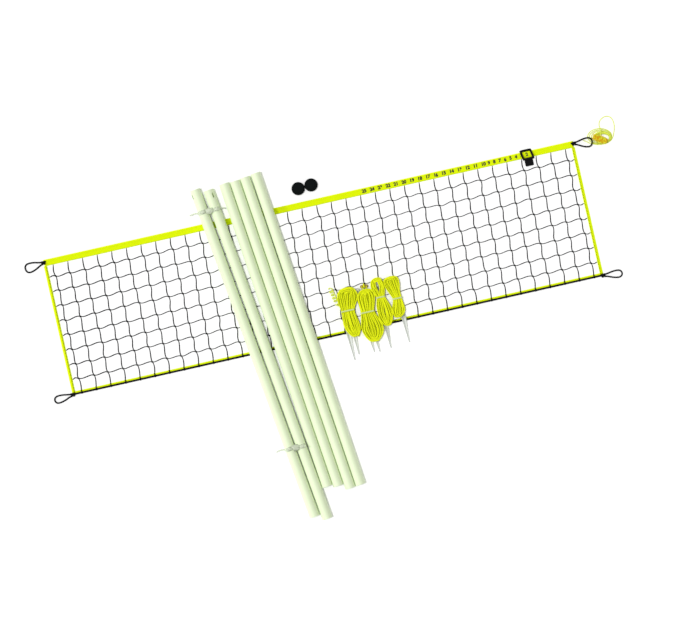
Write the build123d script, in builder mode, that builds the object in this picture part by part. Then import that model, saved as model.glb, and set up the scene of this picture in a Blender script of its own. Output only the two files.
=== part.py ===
"""Volleyball net kit laid out flat: the net, six pole tubes, guy ropes with stakes, caps and a score marker.

Millimetres, +Z up. The origin is on the floor, midway along the net and on the line of its foot cord,
which is also the middle of the footprint. +X runs along the tape, +Y from the foot cord to the tape.
"""

import math
import os
from build123d import *

# The net
MESH = 100.0
COLUMNS = 36
ROWS = 8
TWINE = 4.0
SIDE_X = 1803.0
TAPE_LOW_Y = 878.0
TAPE_HIGH_Y = 922.0
TAPE_EDGE_T = 4.0
HEAD_CORD_R = 4.0
HEAD_CORD_WALL = 2.0
SIDE_TAPE_W = 22.0
SIDE_TAPE_T = 6.4
SIDE_CORD_R = 2.0
CORD_PLAY = 0.1
FOOT_CORD_R = 4.5
FOOT_CORD_Y = 4.0
FOOT_CORD_Z = 5.8
FOOT_TAPE_Y = (9.0, 22.0)
FOOT_TAPE_Z = (2.0, 5.0)
LASHING_W = 6.0
LASHING_Y = (-2.0, 24.0)
LASHING_H = 12.0
LASHING_WALL = 1.0
TAPE_END_X = 1797.0
KNOT_R = 9.0
KNOT_X = 1806.0
SIDE_TAPE_LOW_Y = 14.0

# The cord loops at the net's corners: knot y, length, width, turn about Z and tilt up from the floor
LOOP_CORD_R = 4.2
CORNER_LOOPS = {
    "top_right": (1, 904.0, 133.0, 70.0, -7.8, 10.0),
    "bottom_right": (1, 3.0, 136.0, 58.0, -6.0, 0.0),
    "top_left": (-1, 904.0, 136.0, 70.0, -7.8, 0.0),
    "bottom_left": (-1, 3.0, 136.0, 58.0, -6.0, 0.0),
}

# The pole tubes: centres of the upper and the lower end
TUBE_R = 35.0
TUBE_WALL = 1.5
TUBE_Z = 47.4
TUBE_ENDS = {
    "pair_tube_left": ((-717.0, 1154.0), (-415.5, -1141.0)),
    "pair_tube_right": ((-630.0, 1132.0), (-336.0, -1173.0)),
    "pole_tube_a": ((-519.0, 1151.0), (-290.5, -963.0)),
    "pole_tube_b": ((-446.5, 1152.0), (-218.0, -975.0)),
    "pole_tube_c": ((-375.5, 1162.0), (-143.0, -1008.0)),
    "pole_tube_d": ((-300.0, 1174.0), (-71.0, -1000.0)),
}
# Hook slots near the top of the tied tubes: turn about the tube, from straight up towards +X
SLOT_TURN = {"pair_tube_left": -62.0, "pair_tube_right": 32.0}
SLOT_LENGTH = 34.0
SLOT_W = 11.0
SLOT_DOWN = 42.0

# The plastic ties round the pair: distance down the tubes, and the length of the left and right tails
TIE_WALL = 1.4
TIE_PLAY = 0.4
TIE_W = 20.0
TIE_BITE = 0.3
TIE_TAIL_W = 10.0
TIE_TAIL_T = 2.6
TIES = {"upper_tie": (159.0, 58.0, 30.0, 0.0), "lower_tie": (1835.0, 58.0, 26.0, 62.0)}

# The rubber caps
CAP_R = 44.0
CAP_H = 42.0
CAP_SOCKET_R = 35.2
CAP_SOCKET_DEPTH = 30.0
CAP_PLACES = {"cap_left": (-46.0, 1013.0), "cap_right": (43.0, 1018.0)}

# The guy ropes in hanks: outline of each from its top round by +X, its waist centre and band width
ROPE_D = 8.0
HANK_Z = 24.6
HANK_T = 30.0
HANK_ROUND = 9.0
HANKS = {
    "guy_hank_1": (
        (124, 296), (174, 240), (140, 147), (154, 20), (111, -36), (55, 55), (61, 147), (55, 245)
    ),
    "guy_hank_2": (
        (243, 260), (290, 214), (267, 108), (304, -20), (230, -97), (172, 15), (191, 110), (181, 212)
    ),
    "guy_hank_3": (
        (333, 318), (366, 240), (357, 187), (386, 72), (336, -11), (304, 88), (306, 187), (291, 280)
    ),
    "guy_hank_4": (
        (424, 304), (464, 262), (458, 156), (472, 76), (412, 27), (394, 76), (411, 154), (381, 290)
    ),
}
HANK_3_HOLE = (326.0, 258.0, 24.0, 52.0)
BAND_W = 9.0
BAND_T = 1.5
BANDS = {
    "hank_band_1": (53.5, 142.5, 147.0),
    "hank_band_2": (178.5, 269.5, 109.0),
    "hank_band_3": (304.0, 359.5, 187.0),
    "hank_band_4": (409.0, 470.5, 155.0),
}
CHAIN_TAIL = ((12.0, 322.0), (39.0, 208.0), 26.0, 12.0)
RUNNER = (239.0, 281.0, 52.0, 22.0, 8.0)

# The stakes: tip, and lean of the tip towards +X
STAKE_L = 440.0
STAKE_W = 32.0
STAKE_TAPER_L = 165.0
STAKE_TAPER_W = 30.0
STAKE_TIP_W = 7.0
STAKE_TIP_SHARE = 0.45
STAKE_DEPTH = 11.0
STAKE_WALL = 3.0
STAKE_Z = 12.6
STAKE_HEAD = (34.0, 22.0, 11.0)
STAKE_EYE_R = 5.0
STAKES = {
    "stake_1a": (73.0, -184.0, 0.5),
    "stake_1b": (109.0, -154.0, 0.5),
    "stake_2a": (212.0, -160.0, 3.4),
    "stake_2b": (248.5, -167.0, 3.4),
    "stake_3": (326.0, -159.0, 0.0),
    "stake_4": (454.0, -149.0, 0.6),
}

# The score marker
MARKER_X = 1491.0
MARKER_W = 78.0
MARKER_H = 70.0
MARKER_BAR = 11.0
MARKER_SKEW = 10.0
MARKER_Z = (13.0, 17.0)
MARKER_LIP_Z = 5.4
GRIP_W = 56.0
GRIP_Y = (822.0, 866.5)
GRIP_Z = (5.4, 12.4)
GRIP_RIBS = 4

# The coil at the upper right corner and the wrapped knot on it
COIL_CENTRE = (1988.0, 911.0)
COIL_SIZE = (180.0, 118.0)
COIL_T = 16.5
COIL_TURN = -13.0
COIL_LOOP_CENTRE = (2053.0, 980.0)
COIL_LOOP_R = 52.0
WRAP_CENTRE = (2003.0, 894.0)
WRAP_SIZE = (104.0, 46.0)
WRAP_Z = (17.0, 35.0)
WRAP_TURN = -33.0


def save(part, name):
    """Labels a finished piece and writes its STEP file."""
    part.label = name
    export_step(part, f"parts/{name}.step")


def side_ends():
    """The inner and outer x of the right side tape."""
    return SIDE_X - SIDE_TAPE_W / 2, SIDE_X + SIDE_TAPE_W / 2


def make_netting():
    """The knotted twine as one flat lattice between the tapes."""
    inner_x, _ = side_ends()
    low_y = LASHING_Y[1]
    tall = TAPE_LOW_Y - low_y
    with BuildPart() as netting:
        with BuildSketch(Plane.XY):
            with Locations((0, low_y + tall / 2)):
                with GridLocations(MESH, 0, COLUMNS, 1):
                    Rectangle(TWINE, tall)
            with Locations((0, MESH * (ROWS + 1) / 2)):
                with GridLocations(0, MESH, 1, ROWS):
                    Rectangle(2 * inner_x, TWINE)
        extrude(amount=TWINE)
    return netting.part


def make_top_tape():
    """The tape folded over the head cord, open along the cord's tunnel."""
    roll_r = HEAD_CORD_R + HEAD_CORD_WALL
    roll_y = TAPE_HIGH_Y - roll_r
    with BuildPart() as tape:
        with BuildSketch(Plane.YZ.offset(-TAPE_END_X)):
            with BuildLine():
                Line((TAPE_LOW_Y, 0), (roll_y, 0))
                ThreePointArc((roll_y, 0), (TAPE_HIGH_Y, roll_r), (roll_y, 2 * roll_r))
                Line((roll_y, 2 * roll_r), (TAPE_LOW_Y, TAPE_EDGE_T))
                Line((TAPE_LOW_Y, TAPE_EDGE_T), (TAPE_LOW_Y, 0))
            make_face()
            with Locations((roll_y, roll_r)):
                Circle(HEAD_CORD_R + CORD_PLAY, mode=Mode.SUBTRACT)
        extrude(amount=2 * TAPE_END_X)
    return tape.part


def make_straight_cord(radius, across, height, half_length, along_x=True):
    """A round cord lying straight along X at y = across, or along Y at x = across."""
    with BuildPart() as cord:
        if along_x:
            with BuildSketch(Plane.YZ.offset(-half_length)):
                with Locations((across, height)):
                    Circle(radius)
            extrude(amount=2 * half_length)
        else:
            with BuildSketch(Plane.XZ.offset(-TAPE_LOW_Y)):
                with Locations((across, height)):
                    Circle(radius)
            extrude(amount=TAPE_LOW_Y - SIDE_TAPE_LOW_Y)
    return cord.part


def make_foot_tape():
    """The narrow tape sewn beside the foot cord."""
    low, high = FOOT_TAPE_Y
    with BuildPart() as tape:
        with BuildSketch(Plane.XY.offset(FOOT_TAPE_Z[0])):
            with Locations((0, (low + high) / 2)):
                Rectangle(2 * side_ends()[0], high - low)
        extrude(amount=FOOT_TAPE_Z[1] - FOOT_TAPE_Z[0])
    return tape.part


def make_foot_lashings():
    """The black whippings that hold tape and cord together at each upright twine."""
    low, high = LASHING_Y
    wide = high - low
    with BuildPart() as lashings:
        with BuildSketch(Plane.YZ.offset(-LASHING_W / 2)):
            with Locations(((low + high) / 2, LASHING_H / 2)):
                RectangleRounded(wide, LASHING_H, 3.0)
                RectangleRounded(
                    wide - 2 * LASHING_WALL, LASHING_H - 2 * LASHING_WALL, 2.0, mode=Mode.SUBTRACT
                )
        extrude(amount=LASHING_W)
    places = [(x - (COLUMNS - 1) / 2) * MESH for x in range(COLUMNS)]
    return Compound([lashings.part.solid().moved(Location((x, 0, 0))) for x in places])


def make_side_tape(side):
    """The hem down one end of the net, round its own thin cord."""
    with BuildPart() as tape:
        with BuildSketch(Plane.XZ.offset(-TAPE_LOW_Y)):
            with Locations((side * SIDE_X, SIDE_TAPE_T / 2)):
                RectangleRounded(SIDE_TAPE_W, SIDE_TAPE_T, 1.5)
                Circle(SIDE_CORD_R + CORD_PLAY, mode=Mode.SUBTRACT)
        extrude(amount=TAPE_LOW_Y - SIDE_TAPE_LOW_Y)
    return tape.part


def make_corner_knot(side, knot_y):
    """The lump where the cord loop is knotted to the corner."""
    with BuildPart() as knot:
        with Locations((side * KNOT_X, knot_y, KNOT_R)):
            Sphere(KNOT_R)
    return knot.part


def make_corner_loop(side, knot_y, length, width, turn, tilt):
    """A closed cord loop, pointed at the knot and round at the far end."""
    end_r = width / 2 - LOOP_CORD_R
    centre = length - LOOP_CORD_R - end_r
    root = KNOT_R * 0.4
    start = KNOT_R * 0.7
    reach = centre - start
    slope = math.asin(end_r / math.hypot(reach, root)) - math.atan2(root, reach)
    touch = (centre - end_r * math.sin(slope), end_r * math.cos(slope))
    height = KNOT_R - 1.0 if tilt else LOOP_CORD_R + 1.0
    flat = Plane(origin=(side * KNOT_X, knot_y, height), x_dir=(side, 0, 0), z_dir=(0, 0, 1))
    lie = flat.rotated((0, -tilt, side * turn))
    with BuildPart() as loop:
        with BuildLine(lie) as path:
            Line((start, root), touch)
            ThreePointArc(touch, (centre + end_r, 0), (touch[0], -touch[1]))
            Line((touch[0], -touch[1]), (start, -root))
        with BuildSketch(Plane(origin=path.line @ 0, z_dir=path.line % 0)):
            Circle(LOOP_CORD_R)
        sweep()
    return loop.part


def tube_frame(name, down=0.0):
    """A plane across a tube, some way down it: +Z down the tube, +Y up from the floor."""
    (top_x, top_y), (low_x, low_y) = TUBE_ENDS[name]
    axis = Vector(low_x - top_x, low_y - top_y, 0).normalized()
    return Plane(
        origin=Vector(top_x, top_y, TUBE_Z) + axis * down, x_dir=(-axis.Y, axis.X, 0), z_dir=axis
    )


def tube_length(name):
    """The length of a tube between its end centres."""
    (top_x, top_y), (low_x, low_y) = TUBE_ENDS[name]
    return math.hypot(low_x - top_x, low_y - top_y)


def make_tube(name):
    """A thin round tube open at both ends, with a hook slot if it is one of the pair."""
    across = tube_frame(name)
    with BuildPart() as tube:
        with BuildSketch(across):
            Circle(TUBE_R)
            Circle(TUBE_R - TUBE_WALL, mode=Mode.SUBTRACT)
        extrude(amount=tube_length(name))
        if name in SLOT_TURN:
            turn = math.radians(SLOT_TURN[name])
            up = Vector(0, 0, 1)
            outwards = across.x_dir * (math.sin(turn) * slot_side(across)) + up * math.cos(turn)
            slot_plane = Plane(
                origin=tube_frame(name, SLOT_DOWN).origin, x_dir=across.z_dir, z_dir=outwards
            )
            with BuildSketch(slot_plane):
                SlotOverall(SLOT_LENGTH, SLOT_W)
            extrude(amount=TUBE_R + 5, mode=Mode.SUBTRACT)
    return tube.part


def slot_side(across):
    """1 or -1, so that a positive turn is towards +X."""
    return 1 if across.x_dir.X > 0 else -1


def make_tie(down, left_tail, right_tail, right_rise):
    """A plastic tie: a ring round each tube of the pair, a twist between them and two tails."""
    frames = [tube_frame("pair_tube_left", down), tube_frame("pair_tube_right", down - 22.0)]
    ring_r = TUBE_R + TIE_PLAY + TIE_WALL
    left, right = (frame.origin for frame in frames)
    across = (right - left).normalized()
    gap = (right - left).length - 2 * ring_r
    bite = TIE_WALL * TIE_BITE
    rise = math.radians(right_rise)
    right_way = across * math.cos(rise) + Vector(0, 0, 1) * math.sin(rise)
    tails = [
        (left - across * (ring_r - bite), across * -1, left_tail),
        (right + right_way * (ring_r - bite), right_way, right_tail),
    ]
    with BuildPart() as tie:
        for frame in frames:
            with BuildSketch(frame):
                Circle(ring_r)
                Circle(ring_r - TIE_WALL, mode=Mode.SUBTRACT)
            extrude(amount=TIE_W / 2, both=True)
        with BuildSketch(Plane(origin=left + across * (ring_r - bite), z_dir=across)):
            Rectangle(TIE_TAIL_W, TIE_TAIL_W)
        extrude(amount=gap + 2 * bite)
        for origin, way, length in tails:
            flat = Plane(origin=origin, x_dir=Vector(0, 0, 1).cross(way), z_dir=way)
            with BuildSketch(flat):
                Rectangle(TIE_TAIL_W, TIE_TAIL_T)
            extrude(amount=length)
    return tie.part


def make_cap(place):
    """A round rubber cap lying mouth down: stepped crown above, blind socket below."""
    x, y = place
    crown = [(0, CAP_H), (26, CAP_H), (28, CAP_H - 2), (31, CAP_H - 2), (34, CAP_H)]
    side = [(38, CAP_H - 2), (CAP_R - 1, CAP_H - 8), (CAP_R - 1, 8), (CAP_R, 7), (CAP_R, 0), (0, 0)]
    with BuildPart() as cap:
        with BuildSketch(Plane(origin=(x, y, 0), x_dir=(1, 0, 0), z_dir=(0, -1, 0))):
            with BuildLine():
                Polyline(*crown, *side, close=True)
            make_face()
        revolve(axis=Axis((x, y, 0), (0, 0, 1)))
        with BuildSketch(Plane(origin=(x, y, 0))):
            Circle(CAP_SOCKET_R)
        extrude(amount=CAP_SOCKET_DEPTH, mode=Mode.SUBTRACT)
    return cap.part


def make_hank(name):
    """The outer shape of one hanked guy rope."""
    with BuildPart() as hank:
        with BuildSketch(Plane.XY.offset(HANK_Z)):
            with BuildLine():
                Spline(*HANKS[name], periodic=True)
            make_face()
        extrude(amount=HANK_T)
        rims = hank.edges().filter_by(Plane.XY)
        fillet(rims, HANK_ROUND)
        if name == "guy_hank_3":
            x, y, wide, tall = HANK_3_HOLE
            with BuildSketch(Plane.XY.offset(HANK_Z)):
                with Locations((x, y)):
                    Ellipse(wide / 2, tall / 2)
            extrude(amount=HANK_T, mode=Mode.SUBTRACT)
    return hank.part


def make_band(low_x, high_x, y):
    """The clear band that holds a hank on its stakes."""
    low_z = STAKE_Z - 0.6
    high_z = HANK_Z + HANK_T + 0.6
    with BuildPart() as band:
        with BuildSketch(Plane.XZ.offset(-y - BAND_W / 2)):
            with Locations(((low_x + high_x) / 2, (low_z + high_z) / 2)):
                RectangleRounded(high_x - low_x + 2 * BAND_T, high_z - low_z + 2 * BAND_T, 6.0)
                RectangleRounded(high_x - low_x, high_z - low_z, 4.5, mode=Mode.SUBTRACT)
        extrude(amount=BAND_W)
    return band.part


def make_chain_tail():
    """The outer shape of the chained rope end beside the first hank."""
    (high_x, high_y), (low_x, low_y), wide, thick = CHAIN_TAIL
    turn = math.degrees(math.atan2(low_y - high_y, low_x - high_x))
    length = math.hypot(low_x - high_x, low_y - high_y)
    with BuildPart() as tail:
        with BuildSketch(Plane.XY.offset(HANK_Z)):
            with Locations(Location(((high_x + low_x) / 2, (high_y + low_y) / 2), turn)):
                SlotOverall(length, wide)
        extrude(amount=thick)
        fillet(tail.edges().group_by(Axis.Z)[-1], 4.0)
    return tail.part


def make_runner():
    """The plastic runner that tightens a guy rope, with its two rope holes."""
    x, y, long, wide, thick = RUNNER
    with BuildPart() as runner:
        with BuildSketch(Plane.XY.offset(HANK_Z + 2)):
            with Locations(Location((x, y), -4)):
                RectangleRounded(long, wide, 9.0)
                with Locations((-long / 3.4, 0), (long / 3.4, 0)):
                    Circle(ROPE_D / 2 + 0.6, mode=Mode.SUBTRACT)
        extrude(amount=thick)
        fillet(runner.edges().group_by(Axis.Z)[-1], 1.2)
    return runner.part


def vee(width, share):
    """The corner points of a V section, keel down, at a share of the full size."""
    half = width / 2
    depth = STAKE_DEPTH * share
    lip = STAKE_WALL * share * 1.15
    inner = STAKE_WALL * share * 1.6
    return [(-half, depth), (-half + lip, depth), (0, inner), (half - lip, depth), (half, depth), (0, 0)]


def make_stake(tip_x, tip_y, lean):
    """A moulded ground stake: V body that tapers to its point, and an eyed head."""
    angle = math.radians(lean)
    way = Vector(math.sin(angle), -math.cos(angle), 0)
    side = Vector(math.cos(angle), math.sin(angle), 0)
    head_w, head_l, head_t = STAKE_HEAD
    tip = Vector(tip_x, tip_y, STAKE_Z)
    top = tip - way * STAKE_L
    sections = [
        (top + way * head_l, STAKE_W, 1.0),
        (tip - way * STAKE_TAPER_L, STAKE_TAPER_W, 1.0),
        (tip, STAKE_TIP_W, STAKE_TIP_SHARE),
    ]
    with BuildPart() as stake:
        for origin, width, share in sections:
            with BuildSketch(Plane(origin=origin, x_dir=side, z_dir=way)):
                with BuildLine():
                    Polyline(*vee(width, share), close=True)
                make_face()
        loft(ruled=True)
        with BuildSketch(Plane(origin=top + way * (head_l / 2), x_dir=side, z_dir=(0, 0, 1))):
            RectangleRounded(head_w, head_l, 5.0)
            Circle(STAKE_EYE_R, mode=Mode.SUBTRACT)
        extrude(amount=head_t)
    return stake.part


def skewed(width, height):
    """The corners of the marker's leaning outline, round its centre."""
    shift = math.tan(math.radians(MARKER_SKEW)) * height / 2
    return [
        (-width / 2 - shift, height / 2),
        (width / 2 - shift, height / 2),
        (width / 2 + shift, -height / 2),
        (-width / 2 + shift, -height / 2),
    ]


def make_marker_frame():
    """The window frame over the tape, with a lip down each side of it."""
    middle_y = (TAPE_LOW_Y + TAPE_HIGH_Y) / 2
    inner_w = MARKER_W - 2 * MARKER_BAR
    inner_h = MARKER_H - 2 * MARKER_BAR - 4
    lip_y = MARKER_H / 2 - 4
    shift = math.tan(math.radians(MARKER_SKEW)) * lip_y
    with BuildPart() as frame:
        with BuildSketch(Plane((MARKER_X, middle_y, MARKER_Z[0]))):
            Polygon(*skewed(MARKER_W, MARKER_H), align=None)
            Polygon(*skewed(inner_w, inner_h), align=None, mode=Mode.SUBTRACT)
        extrude(amount=MARKER_Z[1] - MARKER_Z[0])
        fillet(frame.edges().filter_by(Axis.Z), 4.0)
        with BuildSketch(Plane((MARKER_X, middle_y, MARKER_LIP_Z))):
            with Locations((-shift, lip_y), (shift, -lip_y)):
                Rectangle(MARKER_W - 16, 5)
        extrude(amount=MARKER_Z[0] - MARKER_LIP_Z + 0.5)
    return frame.part


def make_marker_grip():
    """The ribbed grip that hangs from the marker's lower lip."""
    low, high = GRIP_Y
    pitch = (high - low) / GRIP_RIBS
    centre_x = MARKER_X + 4
    with BuildPart() as grip:
        with BuildSketch(Plane.XY.offset(GRIP_Z[0])):
            with Locations((centre_x, (low + high) / 2)):
                RectangleRounded(GRIP_W, high - low, 8.0)
        extrude(amount=GRIP_Z[1] - GRIP_Z[0] - 2)
        with BuildSketch(Plane.XY.offset(GRIP_Z[1] - 2)):
            with Locations((centre_x, (low + high) / 2)):
                with GridLocations(0, pitch, 1, GRIP_RIBS):
                    RectangleRounded(GRIP_W - 10, pitch * 0.5, 2.5)
        extrude(amount=2)
    return grip.part


def make_coil():
    """The outer shape of the coiled rope: the flat oval of turns and one loose loop above it."""
    with BuildPart() as coil:
        with BuildSketch(Plane.XY):
            with Locations(COIL_LOOP_CENTRE):
                Circle(COIL_LOOP_R + ROPE_D / 2)
                Circle(COIL_LOOP_R - ROPE_D / 2, mode=Mode.SUBTRACT)
            with Locations(Location(COIL_CENTRE, COIL_TURN)):
                Ellipse(COIL_SIZE[0] / 2, COIL_SIZE[1] / 2)
        extrude(amount=COIL_T)
    return coil.part


def make_coil_wrap():
    """The tight wrapped knot that gathers the coil."""
    with BuildPart() as wrap:
        with BuildSketch(Plane.XY.offset(WRAP_Z[0])):
            with Locations(Location(WRAP_CENTRE, WRAP_TURN)):
                Ellipse(WRAP_SIZE[0] / 2, WRAP_SIZE[1] / 2)
        extrude(amount=WRAP_Z[1] - WRAP_Z[0])
        fillet(wrap.edges().group_by(Axis.Z)[-1], 7.0)
    return wrap.part


def main():
    """Builds every piece and writes it to its own file."""
    os.makedirs("parts", exist_ok=True)
    inner_x, _ = side_ends()
    save(make_netting(), "netting")
    save(make_top_tape(), "top_tape")
    roll_r = HEAD_CORD_R + HEAD_CORD_WALL
    save(make_straight_cord(HEAD_CORD_R, TAPE_HIGH_Y - roll_r, roll_r, TAPE_END_X), "head_cord")
    save(make_foot_tape(), "foot_tape")
    save(make_straight_cord(FOOT_CORD_R, FOOT_CORD_Y, FOOT_CORD_Z, TAPE_END_X), "foot_cord")
    save(make_foot_lashings(), "foot_lashings")
    for side, end in ((1, "right"), (-1, "left")):
        save(make_side_tape(side), f"side_tape_{end}")
        cord = make_straight_cord(SIDE_CORD_R, side * SIDE_X, SIDE_TAPE_T / 2, inner_x, along_x=False)
        save(cord, f"side_cord_{end}")
    for corner, (side, knot_y, length, width, turn, tilt) in CORNER_LOOPS.items():
        save(make_corner_knot(side, knot_y), f"corner_knot_{corner}")
        save(make_corner_loop(side, knot_y, length, width, turn, tilt), f"corner_loop_{corner}")
    for name in TUBE_ENDS:
        save(make_tube(name), name)
    for name, sizes in TIES.items():
        save(make_tie(*sizes), name)
    for name, place in CAP_PLACES.items():
        save(make_cap(place), name)
    for name in HANKS:
        save(make_hank(name), name)
    for name, sizes in BANDS.items():
        save(make_band(*sizes), name)
    save(make_chain_tail(), "guy_chain_tail")
    save(make_runner(), "guy_runner")
    for name, sizes in STAKES.items():
        save(make_stake(*sizes), name)
    save(make_marker_frame(), "marker_frame")
    save(make_marker_grip(), "marker_grip")
    save(make_coil(), "head_rope_coil")
    save(make_coil_wrap(), "head_rope_wrap")


main()
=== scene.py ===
"""The looks of a volleyball net kit laid out flat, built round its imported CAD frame.

Metres, +Z up, +X along the top tape and +Y from the foot cord to the top tape, as in the CAD.
Lengths in the tables are millimetres, because part.py has them so, and MM turns them into metres.
"""

import math
import random

import bpy
import numpy as np
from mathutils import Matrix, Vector, noise


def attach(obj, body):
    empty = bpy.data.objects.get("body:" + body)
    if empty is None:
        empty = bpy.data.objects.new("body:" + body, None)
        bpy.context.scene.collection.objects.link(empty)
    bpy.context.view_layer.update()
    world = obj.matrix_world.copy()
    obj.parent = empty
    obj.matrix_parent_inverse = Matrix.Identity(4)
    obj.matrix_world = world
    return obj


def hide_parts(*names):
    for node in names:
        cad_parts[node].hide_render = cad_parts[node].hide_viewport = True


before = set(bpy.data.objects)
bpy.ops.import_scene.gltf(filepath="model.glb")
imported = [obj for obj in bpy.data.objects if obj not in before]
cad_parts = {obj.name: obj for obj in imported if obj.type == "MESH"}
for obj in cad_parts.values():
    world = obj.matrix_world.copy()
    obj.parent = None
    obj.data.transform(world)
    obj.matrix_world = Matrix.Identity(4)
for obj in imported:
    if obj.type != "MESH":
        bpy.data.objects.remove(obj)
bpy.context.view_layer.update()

MM = 0.001
TAU = 2 * math.pi
scene = bpy.context.scene

# The view: turn of the camera about the vertical, what it looks at, and how wide it sees there
VIEW_TURN = 12.68
VIEW_X, VIEW_Y = 0.0827, 0.1003
VIEW_WIDE = 4.6267
VIEW_LENS, VIEW_SENSOR = 180.0, 36.0

# A sun is (name, strength, degrees up, whether it is the floor's)
WORLD_LIGHT = 0.56
LAMP_SWING = 6.0
SUN_SPREAD = 10.0
LAMPS = (
    ("key_low", 1.06, 30.0, False),
    ("key_high", 1.06, 60.0, False),
    ("floor_light", 2.05, 81.0, True),
)
FLOOR_HALF, FLOOR_Z = 30.0, -0.001

# The net, as in part.py. A corner is (side, knot's y, loop's length, width, turn in degrees, tilt in degrees)
MESH = 100.0
COLUMNS, ROWS = 36, 8
TAPE_LOW_Y = 878.0
TAPE_END_X = 1797.0
TAPE_TURN_IN = 11.0
ROLL_Y, ROLL_R = 916.0, 6.0
TAPE_EDGE_Z = 4.0
SIDE_X, SIDE_W = 1803.0, 22.0
SIDE_LOW_Y, SIDE_HIGH_Y = 14.0, 878.0
FOOT_Y, FOOT_Z, FOOT_R = 4.0, 6.8, 6.5
FOOT_TAPE_Y = (9.0, 22.0)
KNOT_X = 1806.0
CORNERS = {
    "top_right": (1, 904.0, 133.0, 70.0, -7.8, 10.0),
    "bottom_right": (1, 3.0, 136.0, 58.0, -6.0, 0.0),
    "top_left": (-1, 904.0, 136.0, 70.0, -7.8, 0.0),
    "bottom_left": (-1, 3.0, 136.0, 58.0, -6.0, 0.0),
}
LOOP_CORD_D = 11.0

# The netting's twine and knots: angles are where the rows and columns run through a knot
TWINE_R, TWINE_FLAT = 3.3, 0.68
TWINE_Z = 2.5
ROW_RISE = 2.8
KNOT_SCATTER = (1.6, 1.9)
KNOT_Z = 4.7
KNOT_LEAN = math.radians(-46)
ROW_LEAN = math.radians(-30)
COLUMN_LEAN = math.radians(-65)
KNOT_PULL = 92.0
SPAN_STEPS = 10

# The tied pair of tubes, by the ends of each, and their ties: how far down the tubes, left tail, right tail and
# the degrees that the right tail leaves at
TUBE_R, TUBE_Z = 35.0, 47.4
PAIR = {
    "left": ((-717.0, 1154.0), (-415.5, -1141.0)),
    "right": ((-630.0, 1132.0), (-336.0, -1173.0)),
}
TIES = {"upper_tie": (159.0, 58.0, 30.0, 0.0), "lower_tie": (1835.0, 58.0, 26.0, 62.0)}
TIE_W = 28.0

# The printed scale and the score marker's window
NUMBER_SIZE, NUMBER_Y, NUMBER_LIFT = 30.5, 900.5, 0.35
NUMBER_X, NUMBER_STEP = (1194.5, 1491.0), (54.3, 37.0)
MARKER_X, MARKER_Y, MARKER_Z = 1491.0, 900.0, 15.4

# The ropes' diameters, and the guy ropes: for each hank the stations down it as (y, middle x, half width, gap between
# strands), and the upper and the lower end of its middle line
ROPE_D, TAIL_D, RUNNER_D, COIL_D, WRAP_D = 9.0, 7.8, 6.0, 6.0, 5.0
HANK_LAYERS = (29.4, 37.8, 46.2)
TIP_OUT, TIP_STEP = 5.0, 8.6
HANKS = {
    "guy_hank_1": dict(
        nested=5,
        top=(120, 291),
        stations=[
            (268, 117, 56, 0), (234, 114.5, 60, 0), (190, 107, 49, 0), (147, 98, 39, 0),
            (97, 101, 41, 0), (48, 105, 47, 0), (8, 112, 40, 0),
        ],
        low=(113, -31),
    ),
    "guy_hank_2": dict(
        nested=5,
        top=(241, 255),
        stations=[
            (235, 237, 45, 0), (205, 234.5, 52.5, 0), (158, 230, 43, 0), (109, 224, 40, 0),
            (58, 230, 50, 0), (-2, 237, 65, 0), (-52, 236, 52, 0),
        ],
        low=(231, -92),
    ),
    "guy_hank_3": dict(
        nested=4,
        top=(331, 313),
        stations=[
            (293, 325, 35, 8.0), (255, 328, 40, 8.0), (216, 331, 29, 8.8), (187, 331.7, 22, 0),
            (140, 335, 33, 10.3), (84, 337, 42, 10.8), (36, 339, 37, 11.5),
        ],
        low=(337, -6),
    ),
    "guy_hank_4": dict(
        nested=4,
        top=(425, 299),
        stations=[
            (283, 418, 46, 0), (242, 424, 41, 0), (198, 431, 30, 0), (155, 439.7, 25.2, 0),
            (116, 434, 31, 0), (78, 431, 39, 0), (50, 427, 32, 0),
        ],
        low=(414, 32),
    ),
}


# --------------------------------------------------------------------------- materials


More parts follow.
